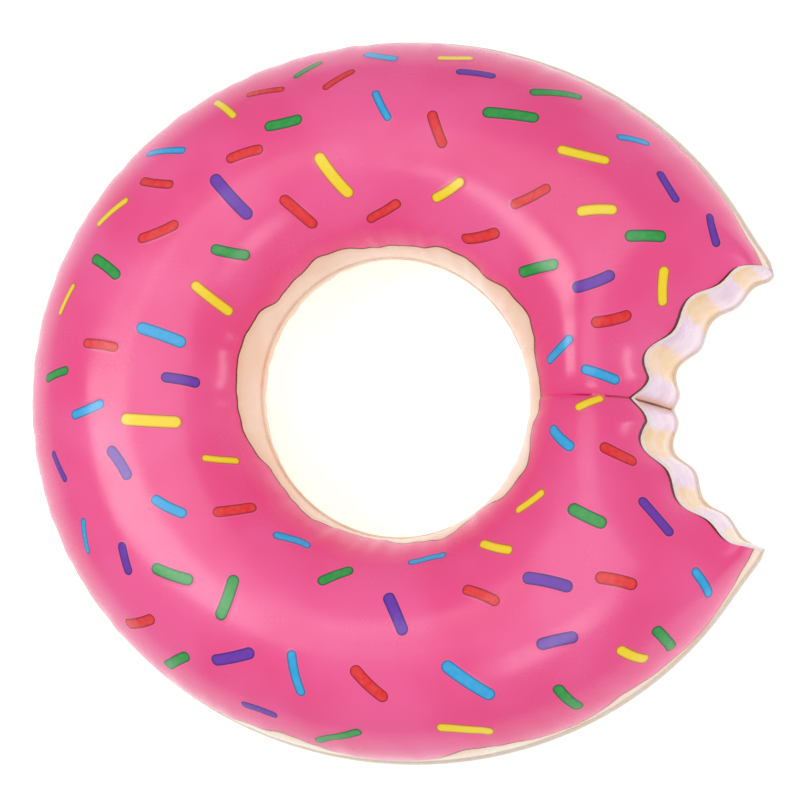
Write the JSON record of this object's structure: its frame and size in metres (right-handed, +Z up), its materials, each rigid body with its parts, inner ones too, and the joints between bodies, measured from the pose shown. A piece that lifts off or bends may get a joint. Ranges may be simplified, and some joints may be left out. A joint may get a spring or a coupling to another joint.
{
  "type": "inflatable pool float",
  "caption": "Ring-shaped inflatable pool float made like a frosted doughnut with a bite out of one side, to sit or lie in on the water.",
  "frame": {"origin": "on the floor, under the centre of the float's bounding box", "axes": "+Z up, out of the frosted face; +X towards the bite; +Y to the left as one looks out through the bite"},
  "size_m": [1.2238, 1.1612, 0.32],
  "materials": {
    "frosted_film": "glossy printed PVC film",
    "dough_film": "glossy PVC film",
    "bite_film": "glossy printed PVC film",
    "clear_film": "frosted clear PVC film",
    "valve_vinyl": "satin soft vinyl",
    "plug_vinyl": "satin soft vinyl"
  },
  "bodies": {
    "ring": {"top_panel": "frosted_film", "bottom_panel": "dough_film", "bite_wall_left": "bite_film", "bite_wall_right": "bite_film", "bite_bulkhead": "clear_film", "valve_flange": "valve_vinyl", "valve_bellows": "valve_vinyl"},
    "stem": {"valve_stem": "valve_vinyl"},
    "flap": {"check_flap": "valve_vinyl"},
    "plug": {"valve_plug": "plug_vinyl", "plug_strap": "plug_vinyl"}
  },
  "joints": [
    {"name": "stem_slide", "type": "slide", "parent": "ring", "child": "stem", "axis": [-0.7071, 0, -0.7071], "range_m": [0, 0.014]},
    {"name": "plug_swing", "type": "hinge", "parent": "stem", "child": "plug", "pos_m": [-0.57023, 0, 0.06176], "axis": [0, 1, 0], "range_deg": [0, 105]},
    {"name": "flap_swing", "type": "hinge", "parent": "stem", "child": "flap", "pos_m": [-0.54477, 0, 0.06458], "axis": [0, 1, 0], "range_deg": [0, 50]}
  ]
}
